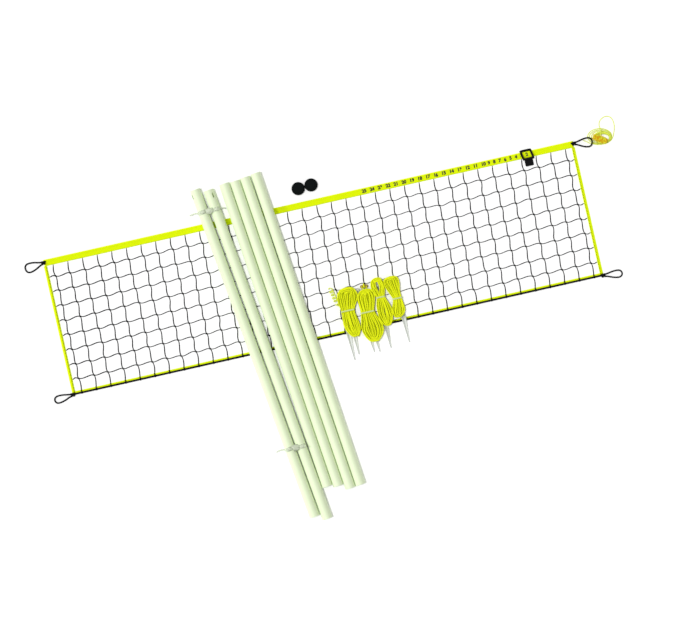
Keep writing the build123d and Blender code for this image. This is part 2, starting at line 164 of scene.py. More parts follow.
class Nodes:
    """A material under construction, with short ways to add its nodes."""

    def __init__(self, name, **sockets):
        self.material = bpy.data.materials.new(name)
        self.material.use_nodes = True
        self.tree = self.material.node_tree
        self.shader = self.tree.nodes["Principled BSDF"]
        for socket, value in sockets.items():
            self.shader.inputs[socket.replace("_", " ")].default_value = value

    def add(self, kind, inputs=None, **settings):
        """Adds a node, sets its properties, and sets or links its inputs."""
        node = self.tree.nodes.new("ShaderNode" + kind)
        for key, value in settings.items():
            setattr(node, key, value)
        for key, value in (inputs or {}).items():
            self.feed(node.inputs[key], value)
        return node

    def feed(self, socket, value):
        """Sets a socket to a value, or links an output to it."""
        if isinstance(value, bpy.types.NodeSocket):
            self.tree.links.new(value, socket)
        else:
            socket.default_value = value

    def math(self, operation, a, b=0.0):
        """The output of one Math node."""
        return self.add("Math", {0: a, 1: b}, operation=operation).outputs[0]

    def noise(self, scale, detail=3.0, roughness=0.55, stretch=None):
        """A noise pattern on the piece's own coordinates."""
        place = self.add("TexCoord").outputs["Object"]
        if stretch:
            place = self.add("Mapping", {"Vector": place, "Scale": stretch}).outputs[0]
        inputs = {"Vector": place, "Scale": scale, "Detail": detail, "Roughness": roughness}
        return self.add("TexNoise", inputs).outputs[0]

    def strands(self, pitch, count, way=1):
        """Ridges that wind round a swept piece: 0 in the grooves and 1 on the crowns."""
        uv = self.add("SeparateXYZ", {0: self.add("UVMap").outputs[0]})
        along = self.math("MULTIPLY", uv.outputs[0], TAU * way / (pitch * MM))
        around = self.math("MULTIPLY", uv.outputs[1], TAU * count)
        wave = self.math("SINE", self.math("ADD", along, around))
        return self.math("ADD", self.math("MULTIPLY", wave, 0.5), 0.5)

    def ribs(self, axis, pitch):
        """Fine straight ridges across one axis of the object."""
        place = self.add("SeparateXYZ", {0: self.add("TexCoord").outputs["Object"]})
        wave = self.math("SINE", self.math("MULTIPLY", place.outputs[axis], TAU / (pitch * MM)))
        return self.math("ADD", self.math("MULTIPLY", wave, 0.5), 0.5)

    def ramp(self, factor, *stops):
        """A colour ramp from (place, colour) stops."""
        node = self.add("ValToRGB", {0: factor})
        while len(node.color_ramp.elements) < len(stops):
            node.color_ramp.elements.new(0.5)
        for element, (place, colour) in zip(node.color_ramp.elements, stops):
            element.position = place
            element.color = (*colour, 1.0)
        return node.outputs[0]

    def finish(self, colour=None, height=None, depth=0.2, rough=None):
        """Links the colour, the bump in mm and the roughness, and gives the material."""
        if colour is not None:
            self.feed(self.shader.inputs["Base Color"], colour)
        if height is not None:
            bump = self.add("Bump", {"Height": height, "Strength": 1.0, "Distance": depth * MM})
            self.feed(self.shader.inputs["Normal"], bump.outputs[0])
        if rough is not None:
            low, high, factor = rough
            fit = self.add("MapRange", {"Value": factor, "To Min": low, "To Max": high})
            self.feed(self.shader.inputs["Roughness"], fit.outputs[0])
        return self.material


def mixed(colour, share):
    """A colour made darker or lighter by a share."""
    return tuple(min(1.0, channel * share) for channel in colour)


def twisted_material(name, colour, pitch, count, dark=0.55, sheen=0.08, shine=0.2):
    """Laid rope or twine: strands winding round it, with fine fibres on them; the grooves carry painted shade and the
    crowns a painted highlight.
    """
    n = Nodes(name, Sheen_Weight=sheen, Specular_IOR_Level=shine)
    crown = n.strands(pitch, count)
    fibre = n.noise(900.0, 4.0)
    patch = n.noise(22.0, 2.0)
    tone = n.math("ADD", n.math("MULTIPLY", crown, 0.62), n.math("MULTIPLY", fibre, 0.38))
    tone = n.math("ADD", n.math("MULTIPLY", tone, 0.8), n.math("MULTIPLY", patch, 0.25))
    # Painted shade and highlight: the grooves are darkened by dark and the crowns lightened by 1.1, over fibre and
    # patch noise of random tone.
    tint = n.ramp(tone, (0.2, mixed(colour, dark)), (0.55, mixed(colour, 0.92)), (0.9, mixed(colour, 1.1)))
    return n.finish(tint, tone, 0.5, (0.55, 0.85, fibre))


def flecked_material(name, colour, fleck, pitch, count):
    """Laid rope whose strands turn from one colour to another in short flecks, with painted shade in the grooves
    between strands.
    """
    n = Nodes(name, Sheen_Weight=0.08, Specular_IOR_Level=0.2)
    crown = n.strands(pitch, count)
    spots = n.noise(75.0, 1.0)
    tint = n.ramp(spots, (0.47, colour), (0.53, fleck))
    # Painted shade: the flecked colour is darkened in the grooves between strands and lightened on their crowns.
    shade = n.math("ADD", n.math("MULTIPLY", crown, 0.25), 0.85)
    lit = n.add("VectorMath", {0: tint, "Scale": shade}, operation="SCALE").outputs[0]
    return n.finish(lit, crown, 0.5, (0.55, 0.85, spots))


def braided_material(name, colour, pitch, count, dark=0.45):
    """Braided cord: two families of strands crossing as diamonds, with painted shade in the grooves and a painted
    highlight on the crossings.
    """
    n = Nodes(name, Specular_IOR_Level=0.05)
    both = n.math("MAXIMUM", n.strands(pitch, count), n.strands(pitch, count, -1))
    fibre = n.noise(1100.0, 3.0)
    tone = n.math("ADD", n.math("MULTIPLY", both, 0.7), n.math("MULTIPLY", fibre, 0.3))
    # Painted shade and highlight: the grooves are darkened by dark and the crossings lightened to 1.5 times the colour.
    tint = n.ramp(tone, (0.25, mixed(colour, dark)), (0.7, colour), (1.0, mixed(colour, 1.5)))
    return n.finish(tint, tone, 0.35, (0.55, 0.8, fibre))


def tape_material(name, colour, length_axis):
    """Woven tape: ribs across it, threads along it, and a slightly uneven dye."""
    n = Nodes(name, Specular_IOR_Level=0.08)
    weft = n.ribs(length_axis, 1.6)
    warp = n.ribs(1 - length_axis, 1.1)
    dye = n.noise(16.0, 3.0)
    fuzz = n.noise(1300.0, 2.0)
    weave = n.math("ADD", n.math("MULTIPLY", weft, 0.6), n.math("MULTIPLY", warp, 0.4))
    tone = n.math("ADD", n.math("MULTIPLY", weave, 0.5), n.math("MULTIPLY", dye, 0.5))
    tint = n.ramp(tone, (0.2, mixed(colour, 0.93)), (0.5, colour), (0.9, mixed(colour, 1.04)))
    return n.finish(tint, weave, 0.25, (0.6, 0.82, fuzz))


def plastic_material(name, colour, rough, grain=420.0, depth=0.05, spread=0.12, **sockets):
    """Moulded plastic, rubber or paint: a fine grain, slow colour drift and uneven gloss."""
    n = Nodes(name, **sockets)
    drift = n.noise(9.0, 3.0)
    fine = n.noise(grain, 3.0)
    both = n.math("ADD", n.math("MULTIPLY", drift, 0.7), n.math("MULTIPLY", fine, 0.3))
    tint = n.ramp(both, (0.3, mixed(colour, 1 - spread)), (0.7, mixed(colour, 1 + spread / 2)))
    return n.finish(tint, fine, depth, (rough * 0.8, min(1.0, rough * 1.25), drift))


YELLOW = (0.80, 0.98, 0.0)
ROPE_YELLOW = (0.90, 1.0, 0.0)
TWINE = twisted_material("twine_black", (0.012, 0.013, 0.015), 7.0, 2, sheen=0.0, shine=0.05)
TAPE_X = tape_material("tape_yellow_x", YELLOW, 0)
TAPE_Y = tape_material("tape_yellow_y", YELLOW, 1)
THREAD_YELLOW = twisted_material("thread_yellow", (0.62, 0.74, 0.01), 1.2, 2)
THREAD_DARK = twisted_material("thread_olive", (0.05, 0.065, 0.0), 1.2, 2, sheen=0.0)
CORD_BLACK = braided_material("cord_black", (0.007, 0.008, 0.009), 9.0, 4)
CORD_WHITE = braided_material("cord_white", (0.82, 0.82, 0.78), 7.0, 4, 0.6)
ROPE = twisted_material("rope_yellow", ROPE_YELLOW, 34.0, 3, 0.8)
ROPE_PALE = twisted_material("rope_pale", (0.84, 0.95, 0.10), 20.0, 3, 0.85)
ROPE_GOLD = flecked_material("rope_gold", (0.92, 0.50, 0.0), (0.92, 0.92, 0.03), 20.0, 3)
TUBE = plastic_material("tube_cream", (0.81, 0.92, 0.63), 0.4, 700.0, 0.035, 0.03, Specular_IOR_Level=0.3)
RUBBER = plastic_material("rubber_black", (0.004, 0.006, 0.006), 0.75, 500.0, 0.12, 0.3, Specular_IOR_Level=0.06)
FILM = plastic_material("tie_film", (0.86, 0.95, 0.74), 0.25, 160.0, 0.3, 0.16, Alpha=0.55, Specular_IOR_Level=0.5)
BAND = plastic_material("band_clear", (0.72, 0.84, 0.36), 0.4, 300.0, 0.08, 0.1, Alpha=0.75)
STAKE = plastic_material("stake_white", (0.76, 0.79, 0.74), 0.35, 350.0, 0.06, 0.08, Alpha=0.82)
RUNNER = plastic_material("runner_gold", (0.40, 0.24, 0.005), 0.35, 300.0, 0.05, 0.12)
MARKER = plastic_material("marker_black", (0.005, 0.005, 0.006), 0.5, 380.0, 0.08, 0.3, Specular_IOR_Level=0.08)
INK = plastic_material("ink_black", (0.012, 0.012, 0.012), 0.7, 900.0, 0.04, 0.4)


# --------------------------------------------------------------------------- mesh tools


class Bin:
    """Collects rings of points joined by faces, and makes one object of them."""

    def __init__(self):
        self.points, self.faces, self.uvs, self.count = [], [], [], 0

    def rings(self, rings, along, looped=False, capped=True):
        """Joins rings (rings, corners, 3) in metres, each a closed outline."""
        n, k, _ = rings.shape
        i, j = (a.ravel() for a in np.meshgrid(np.arange(n if looped else n - 1), np.arange(k), indexing="ij"))
        i2, j2 = (i + 1) % n, (j + 1) % k
        quads = self.count + np.stack([i * k + j, i * k + j2, i2 * k + j2, i2 * k + j], 1)
        far = np.append(along, 2 * along[-1] - along[-2])
        u, u2, v, v2 = far[i], far[i + 1], j / k, (j + 1) / k
        self.uvs.append(np.stack([u, v, u, v2, u2, v2, u2, v], 1).reshape(-1, 2))
        self.faces += quads.tolist()
        if capped and not looped:
            first = self.count + np.arange(k)
            last = first + (n - 1) * k
            self.faces += [first[::-1].tolist(), last.tolist()]
            self.uvs.append(np.zeros((2 * k, 2)))
        self.points.append(rings.reshape(-1, 3))
        self.count += n * k

    def loop(self, points, section):
        """A section swept round a closed line of points in metres."""
        rings, along = swept(points, section, looped=True)
        self.rings(rings, along, looped=True)

    def flatten_at_floor(self):
        """Presses what would reach below the floor flat on it."""
        for points in self.points:
            points[:, 2] = np.maximum(points[:, 2], 0.0)

    def make(self, name, material):
        """The object, smooth shaded, in the scene."""
        mesh = bpy.data.meshes.new(name)
        mesh.from_pydata(np.concatenate(self.points).tolist(), [], self.faces)
        layer = mesh.uv_layers.new(name="along")
        layer.data.foreach_set("uv", np.concatenate(self.uvs).astype(np.float32).ravel())
        mesh.polygons.foreach_set("use_smooth", [True] * len(mesh.polygons))
        mesh.materials.append(material)
        mesh.update()
        obj = bpy.data.objects.new(name, mesh)
        scene.collection.objects.link(obj)
        return obj


def distances(points):
    """How far along a line each of its points is."""
    return np.concatenate([[0], np.cumsum(np.linalg.norm(np.diff(points, axis=0), axis=1))])


def axes(points, looped=False):
    """Two directions across a line at each point, carried along it without twisting."""
    if looped:
        ways = np.roll(points, -1, 0) - np.roll(points, 1, 0)
    else:
        ways = np.gradient(points, axis=0)
    ways = ways / np.linalg.norm(ways, axis=1, keepdims=True)
    side = np.cross(ways[0], (0, 0, 1) if abs(ways[0][2]) < 0.9 else (1, 0, 0))
    sides = np.empty_like(ways)
    for index, way in enumerate(ways):
        side = side - way * np.dot(side, way)
        side = side / np.linalg.norm(side)
        sides[index] = side
    return sides, np.cross(ways, sides)


def circle(radius, corners):
    """A round section, in metres."""
    turn = TAU * np.arange(corners) / corners
    return radius * np.stack([np.cos(turn), np.sin(turn)], 1)


def lobed(radius, lobes, per_lobe, depth):
    """A section of round strands side by side, in metres."""
    turn = TAU * np.arange(lobes * per_lobe) / (lobes * per_lobe)
    reach = radius * (1 - depth * (0.5 - 0.5 * np.cos(lobes * turn)))
    return np.stack([reach * np.cos(turn), reach * np.sin(turn)], 1)


def swept(points, section, turns=0.0, looped=False):
    """Rings of a section along points, turning so many times a metre, and the distance of each."""
    points = np.asarray(points, float)
    sides, ups = axes(points, looped)
    along = distances(points)
    turn = TAU * turns * along[:, None]
    x, y = section[..., 0], section[..., 1]
    across = x * np.cos(turn) - y * np.sin(turn)
    rise = x * np.sin(turn) + y * np.cos(turn)
    rings = points[:, None] + across[..., None] * sides[:, None] + rise[..., None] * ups[:, None]
    return rings, along


def route(points, per_span=8):
    """The points of a smooth line through the row frame, read from its NURBS spline. Takes mm, gives metres."""
    curve = bpy.data.curves.new("route", "CURVE")
    curve.dimensions = "3D"
    curve.resolution_u = per_span
    spline = curve.splines.new("NURBS")
    spline.points.add(len(points) - 1)
    for control, place in zip(spline.points, points):
        control.co = (*(c * MM for c in place), 1)
    spline.order_u = 3
    spline.use_endpoint_u = True
    holder = bpy.data.objects.new("route", curve)
    mesh = bpy.data.meshes.new_from_object(holder)
    line = np.array([v.co for v in mesh.vertices], float)
    bpy.data.objects.remove(holder)
    bpy.data.curves.remove(curve)
    bpy.data.meshes.remove(mesh)
    return line


def stepped(line, step):
    """The line with its points an even step of metres apart."""
    along = distances(line)
    at = np.linspace(0, along[-1], max(2, math.ceil(along[-1] / step) + 1))
    return np.stack([np.interp(at, along, line[:, k]) for k in range(3)], 1)


def braid(line, radius, corners=12, pitch=0.009, depth=0.09):
    """Rings of a braided cord: diamonds stand out where two families of strands cross."""
    along = distances(line)
    turn = TAU * np.arange(corners) / corners
    wind = TAU * along[:, None] / pitch
    lift = np.maximum(np.cos(wind + 4 * turn), np.cos(wind - 4 * turn))
    reach = radius * (1 - depth * (0.5 - 0.5 * lift))
    section = np.stack([reach * np.cos(turn), reach * np.sin(turn)], -1)
    return swept(line, section)


def place(obj, body, slot, *nodes):
    """Puts a piece on its body, in place of CAD nodes."""
    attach(obj, body)
    if nodes:
        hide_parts(*nodes)
    return obj


def make_rope(
    name, points, nodes, body, slot, material, *, diameter, pitch, step, digits, far_end="bare", lay="coiled"
):
    """A laid rope of three strands along a route in mm, put on its body."""
    line = stepped(route(points, 6), step)
    line[:, 2] = np.maximum(line[:, 2], diameter / 2 * MM)
    rope = Bin()
    rope.rings(*swept(line, lobed(diameter / 2 * MM, 3, 4, 0.2), turns=1 / pitch))
    obj = place(rope.make(name, material), body, slot, *nodes)


# --------------------------------------------------------------------------- the net


def knot_places():
    """Where the twines cross, a little uneven as in a real net: (columns + 2 ends, rows + 2 ends, 2) in mm."""
    rng = random.Random(11)
    places = np.zeros((COLUMNS + 2, ROWS + 2, 2))
    for column in range(COLUMNS + 2):
        for row in range(ROWS + 2):
            x = (column - (COLUMNS + 1) / 2) * MESH
            y = row * MESH
            inner = 0 < column <= COLUMNS and 0 < row <= ROWS
            places[column, row] = (x, y)
            if inner:
                places[column, row] += (rng.gauss(0, KNOT_SCATTER[0]), rng.gauss(0, KNOT_SCATTER[1]))
    places[0, :, 0], places[-1, :, 0] = -SIDE_X + 6, SIDE_X - 6
    places[:, 0, 1], places[:, -1, 1] = 10.0, TAPE_LOW_Y + 5
    return places


def span(start, end, pull_start, pull_end):
    """A soft curve between two points that leaves and arrives in given directions."""
    t = np.linspace(0, 1, SPAN_STEPS + 1)[:, None]
    return (
        (2 * t**3 - 3 * t**2 + 1) * start
        + (t**3 - 2 * t**2 + t) * pull_start
        + (3 * t**2 - 2 * t**3) * end
        + (t**3 - t**2) * pull_end
    )


def twine_line(knots, lean, end_way):
    """One twine through a row of knots, which it crosses at a lean, and how thick it is along it."""
    pull = np.array([math.cos(lean), math.sin(lean)]) * KNOT_PULL
    end_pull = np.array(end_way) * 60
    rng = random.Random(int(knots[0][0] * 7 + knots[0][1] * 13))
    lines, sizes = [], []
    share = np.linspace(0, 1, SPAN_STEPS + 1)
    for index in range(len(knots) - 1):
        first, last = index == 0, index == len(knots) - 2
        leave = end_pull if first else pull * rng.uniform(0.75, 1.25)
        arrive = end_pull if last else pull * rng.uniform(0.75, 1.25)
        lines.append(span(knots[index], knots[index + 1], leave, arrive)[:-1])
        size = 0.86 + 0.26 * np.sin(math.pi * share**1.5)
        if first:
            size = size * np.clip(0.45 + share * 2, 0, 1)
        if last:
            size = size * np.clip(0.45 + (1 - share) * 2, 0, 1)
        sizes.append(size[:-1])
    lines.append(knots[-1:])
    sizes.append([0.45])
    return np.concatenate(lines), np.concatenate(sizes)


def lifted(flat, knots, height, rise):
    """Gives a flat twine its height: rise more at each knot than between them."""
    near = np.min(np.linalg.norm(flat[:, None] - knots[None, 1:-1], axis=2), axis=1)
    z = height + rise * np.exp(-((near / 9.0) ** 2))
    return np.column_stack([flat, z]) * MM


def knot_wraps(bin_, centre, rng):
    """The turns of twine that close one knot round its two strands."""
    lean = KNOT_LEAN + rng.uniform(-0.12, 0.12)
    way = np.array([math.cos(lean), math.sin(lean), 0])
    for shift, tilt in ((-3.8, 0.3), (0.0, -0.25), (3.8, 0.2)):
        turn = TAU * np.arange(10) / 10
        aside = np.array([-math.sin(lean + tilt), math.cos(lean + tilt), 0])
        wide, tall = (5.4, 3.0) if abs(shift) < 1 else (4.8, 2.7)
        ring = (
            np.array([*centre, KNOT_Z])
            + way * shift
            + aside * (wide * np.cos(turn))[:, None]
            + np.array([0, 0, 1.0]) * (tall * np.sin(turn))[:, None]
        )
        bin_.loop(ring * MM, circle(1.5 * MM, 5))


def make_netting():
    """The black knotted netting."""
    places = knot_places()
    section = circle(TWINE_R * MM, 8) * (1.0, TWINE_FLAT)
    twine = Bin()
    for row in range(1, ROWS + 1):
        knots = places[:, row]
        flat, size = twine_line(knots, ROW_LEAN, (1.0, 0.0))
        twine.rings(*swept(lifted(flat, knots, TWINE_Z, ROW_RISE), section * size[:, None, None]))
    for column in range(1, COLUMNS + 1):
        knots = places[column, ::-1]
        flat, size = twine_line(knots, COLUMN_LEAN, (0.0, -1.0))
        twine.rings(*swept(lifted(flat, knots, TWINE_Z, 0.0), section * size[:, None, None]))
    rng = random.Random(5)
    for column in range(1, COLUMNS + 1):
        for row in range(1, ROWS + 1):
            knot_wraps(twine, places[column, row], rng)
    twine.flatten_at_floor()
    place(twine.make("net_twine_mesh", TWINE), "net", "net_twine", "netting")


def ripple(x, seed):
    """A slow unevenness along the net, from -1 to 1."""
    return noise.noise(Vector((x * 0.011, seed, 0.3)))


def tape_top_z(x, y):
    """The height of the top tape's upper face, in mm."""
    slope = (2 * ROLL_R - TAPE_EDGE_Z) / (ROLL_Y - TAPE_LOW_Y)
    return TAPE_EDGE_Z + (y - TAPE_LOW_Y) * slope + 0.25 * ripple(x, 2.0)


def folded_outline(path, thick):
    """A closed outline round a folded layer of cloth whose outer side is path, in mm."""
    path = np.array(path, float)
    ways = np.gradient(path, axis=0)
    ways /= np.linalg.norm(ways, axis=1, keepdims=True)
    inner = path + thick * np.column_stack([-ways[:, 1], ways[:, 0]])
    return np.concatenate([path, inner[::-1]])


def arc(x, y, radius, start, end, count):
    """Points of an arc, angles in degrees."""
    turns = np.radians(np.linspace(start, end, count))
    return [(x + radius * math.cos(a), y + radius * math.sin(a)) for a in turns]


def make_top_tape():
    """The tape folded over the head cord, with its two lines of stitching."""
    low = [(y, 0.0) for y in np.linspace(TAPE_LOW_Y, ROLL_Y - 3, 7)]
    slope = (2 * ROLL_R - TAPE_EDGE_Z) / (ROLL_Y - TAPE_LOW_Y)
    high = [(y, TAPE_EDGE_Z + (y - TAPE_LOW_Y) * slope) for y in np.linspace(ROLL_Y - 3, TAPE_LOW_Y, 8)]
    outline = folded_outline(low + arc(ROLL_Y, ROLL_R, ROLL_R, -90, 90, 9) + high, 1.0)
    reach = TAPE_END_X + TAPE_TURN_IN
    stations = np.linspace(-reach, reach, 301)
    rings = []
    for x in stations:
        edge = 0.7 * ripple(x, 9.0)
        grow = np.clip((TAPE_LOW_Y + 22 - outline[:, 0]) / 22, 0, 1)
        y = outline[:, 0] + edge * grow
        z = np.maximum(0, outline[:, 1] + 0.25 * ripple(x, 2.0) * (outline[:, 1] > 1.5))
        rings.append(np.column_stack([np.full(len(y), x), y, z]))
    tape = Bin()
    tape.rings(np.array(rings) * MM, (stations + reach) * MM)
    obj = place(tape.make("top_tape_cloth", TAPE_X), "net", "tape_yellow", "top_tape")
    stitches = Bin()
    for y in (TAPE_LOW_Y + 3.2, ROLL_Y - 7.5):
        for index, x in enumerate(np.arange(-TAPE_END_X + 8, TAPE_END_X - 8, 6.4)):
            add_stitch(stitches, (x, y, tape_top_z(x, y)), (1, 0), 4.3)
    stitching = place(stitches.make("top_tape_stitches", THREAD_YELLOW), "net", "tape_yellow")


def add_stitch(bin_, middle, way, length, radius=0.42):
    """One short thread that dips into the cloth at both ends."""
    x, y, z = middle
    at = np.array([-0.5, -0.34, 0, 0.34, 0.5]) * length
    line = np.array([(x + way[0] * a, y + way[1] * a, z + h) for a, h in zip(at, (-0.4, 0.15, 0.3, 0.15, -0.4))])
    bin_.rings(*swept(line * MM, circle(radius * MM, 5)))


def make_side_tape(side, name, cord_name):
    """The hem down one end, folded over the end mesh and its thin cord, with a dark lashed stitch."""
    outer, inner = SIDE_W / 2, -SIDE_W / 2
    low = [(x, 0.0) for x in np.linspace(inner, outer - 2.2, 6)]
    high = []
    for x in np.linspace(outer - 2.2, inner, 12):
        high.append((x, 4.4 + 2.0 * math.exp(-((x / 3.6) ** 2))))
    outline = folded_outline(low + arc(outer - 2.2, 2.2, 2.2, -70, 70, 6) + high, 1.0)
    stations = np.linspace(SIDE_LOW_Y, SIDE_HIGH_Y, 87)
    rings = []
    for y in stations:
        x = outline[:, 0] + 0.6 * ripple(y, 4.0 + side)
        z = np.maximum(0, outline[:, 1])
        rings.append(np.column_stack([side * (SIDE_X + x), np.full(len(x), y), z]))
    rings = np.array(rings[:: -side] if side > 0 else rings)
    tape = Bin()
    tape.rings(rings * MM, (stations - SIDE_LOW_Y) * MM)
    obj = place(tape.make(name + "_cloth", TAPE_Y), "net", "tape_yellow", name)
    stitches = Bin()
    for y in np.arange(SIDE_LOW_Y + 6, SIDE_HIGH_Y - 2, 10.0):
        add_stitch(stitches, (side * (SIDE_X - 4.4), y, 5.2), (side * 0.9, 0.44), 8.0, 1.7)
    stitching = place(stitches.make(name + "_lashing", THREAD_DARK), "net", "tape_yellow")
    cord = Bin()
    line = np.array([(side * SIDE_X, y, 3.2) for y in np.arange(SIDE_LOW_Y, SIDE_HIGH_Y + 1, 2.0)])
    cord.rings(*braid(line * MM, 2.0 * MM, 8, 0.006))
    place(cord.make(cord_name + "_braid", CORD_WHITE), "net", "cord_white", cord_name)


def make_foot():
    """The foot tape and cord, and the whippings that hold them together."""
    low, high = FOOT_TAPE_Y
    under = [(low, 3.0), (low + 4, 2.8), (high - 4, 2.9), (high, 3.2)]
    over = [(high, 4.5), (high - 4, 4.3), (low + 4, 4.2), (low, 4.3)]
    outline = np.array(under + over)
    stations = np.linspace(-SIDE_X - SIDE_W / 2, SIDE_X + SIDE_W / 2, 240)
    rings = [
        np.column_stack([np.full(8, x), outline[:, 0] + 0.6 * ripple(x, 6.0), outline[:, 1] + 0.4 * ripple(x, 7.0)])
        for x in stations
    ]
    tape = Bin()
    tape.rings(np.array(rings) * MM, (stations - stations[0]) * MM)
    foot_tape = place(tape.make("foot_tape_cloth", TAPE_X), "net", "tape_yellow", "foot_tape")
    cord = Bin()
    xs = np.arange(-TAPE_END_X, TAPE_END_X + 1, 2.2)
    line = np.array([(x, FOOT_Y, FOOT_Z) for x in xs])
    cord.rings(*braid(line * MM, FOOT_R * MM, 12))
    place(cord.make("foot_cord_braid", CORD_BLACK), "net", "cord_black", "foot_cord")
    hug = [
        (-3.2, 6.8), (-1.4, 11.8), (4, 14.2), (9.6, 12.0), (13.8, 8.0), (19, 6.6),
        (23.0, 5.8), (23.4, 3.6), (19, 1.8), (10, 1.2), (4, 1.2), (-1.0, 2.4),
    ]
    whip = Bin()
    rng = random.Random(3)
    for column in range(COLUMNS):
        x = (column - (COLUMNS - 1) / 2) * MESH
        turns = 5
        points = []
        for index in range(turns * len(hug) + 1):
            y, z = hug[index % len(hug)]
            points.append((x - 3.6 + 7.2 * index / (turns * len(hug)) + rng.uniform(-0.2, 0.2), y, z))
        whip.rings(*swept(np.array(points) * MM, circle(1.1 * MM, 5)))
    place(whip.make("foot_lashings_wound", CORD_BLACK), "net", "cord_black", "foot_lashings")


def make_head_cord():
    """The cord in the tape's tunnel."""
    cord = Bin()
    xs = np.arange(-TAPE_END_X, TAPE_END_X + 1, 4.0)
    line = np.array([(x, ROLL_Y, ROLL_R) for x in xs])
    cord.rings(*braid(line * MM, 4.0 * MM, 10))
    place(cord.make("head_cord_braid", CORD_WHITE), "net", "cord_white", "head_cord")


def digit_parts(number):
    """The glyphs of a number as (text, shift, way).

    A six is a nine turned round, because the six's own outline won't thicken.
    """
    if number == 6:
        return [("9", 0.0, -1)]
    if number == 16:
        return [("1", -6.5, 1), ("9", 7.0, -1)]
    return [(str(number), 0.0, 1)]


def make_numbers():
    """The printed scale on the tape, from 25 down to 1."""
    points, faces = [], []
    for number in range(25, 0, -1):
        if number > 9:
            x = NUMBER_X[0] - (number - 10) * NUMBER_STEP[0]
        else:
            x = NUMBER_X[1] - (number - 2) * NUMBER_STEP[1]
        for body, shift, way in digit_parts(number):
            text = bpy.data.curves.new("digits", "FONT")
            text.body = body
            text.size = NUMBER_SIZE
            text.align_x, text.align_y = "CENTER", "CENTER"
            text.offset = 1.8
            holder = bpy.data.objects.new("digits", text)
            mesh = bpy.data.meshes.new_from_object(holder)
            base = len(points)
            for vertex in mesh.vertices:
                px, py = x + shift + way * vertex.co.x, NUMBER_Y + way * vertex.co.y
                points.append((px * MM, py * MM, (tape_top_z(px, py) + NUMBER_LIFT) * MM))
            faces += [[base + v for v in polygon.vertices] for polygon in mesh.polygons]
            bpy.data.objects.remove(holder)
            bpy.data.meshes.remove(mesh)
            bpy.data.curves.remove(text)
    mesh = bpy.data.meshes.new("tape_numbers")
    mesh.from_pydata(points, [], faces)
    mesh.materials.append(INK)
    obj = bpy.data.objects.new("tape_numbers", mesh)
    scene.collection.objects.link(obj)
    place(obj, "net", "cord_black")


# --------------------------------------------------------------------------- corner loops


def loop_frame(side, knot_y, turn, tilt):
    """A function from (along, across, up) at a corner loop to the row frame, in mm."""
    a, b = math.radians(turn * side), math.radians(tilt)
    base = np.array([side * KNOT_X, knot_y, 8.0 if tilt else 5.8])
    out = np.array([side * math.cos(a) * math.cos(b), side * math.sin(a) * math.cos(b), math.sin(b)])
    across = np.array([-math.sin(a), math.cos(a), 0])
    return lambda x, y, z=0.0: base + out * x + across * y + np.array([0, 0, z])


def make_corner(name, side, knot_y, length, width, turn, tilt):
    """A knotted cord loop at one corner of the net."""
    at = loop_frame(side, knot_y, turn, tilt)
    half = width / 2 - LOOP_CORD_D / 2
    reach = length - LOOP_CORD_D / 2
    shape = [
        (2, 3.5), (16, 6.5), (38, half * 0.44), (62, half * 0.78), (reach - 36, half * 1.03), (reach - 12, half * 0.98),
        (reach + 1.5, half * 0.42), (reach + 1.5, -half * 0.42), (reach - 12, -half * 0.98), (reach - 36, -half * 1.03),
        (62, -half * 0.78), (38, -half * 0.44), (16, -6.5), (2, -3.5),
    ]
    line = stepped(route([at(x, y) for x, y in shape]), 0.0015)
    loop = Bin()
    loop.rings(*braid(line, LOOP_CORD_D / 2 * MM, 12, 0.010))
    obj = place(loop.make(f"corner_loop_{name}_cord", CORD_BLACK), "net", "cord_black", f"corner_loop_{name}")
    turns = TAU * np.arange(60) / 60
    trefoil = 3.5
    knot_line = np.column_stack(
        [
            side * KNOT_X + trefoil * (np.sin(turns) + 2 * np.sin(2 * turns)),
            knot_y + trefoil * (np.cos(turns) - 2 * np.cos(2 * turns)),
            10.0 - 4.4 * np.sin(3 * turns),
        ]
    )
    knot = Bin()
    knot.loop(knot_line * MM, circle(4.8 * MM, 10))
    for shift in (12.5, 15.6, 18.7):
        ring = np.array([at(shift, 12.0 * math.cos(t), 1.6 + 5.0 * math.sin(t)) for t in TAU * np.arange(20) / 20])
        knot.loop(ring * MM, circle(1.5 * MM, 6))
    lump = place(knot.make(f"corner_knot_{name}_wound", CORD_BLACK), "net", "cord_black", f"corner_knot_{name}")


# --------------------------------------------------------------------------- guy ropes


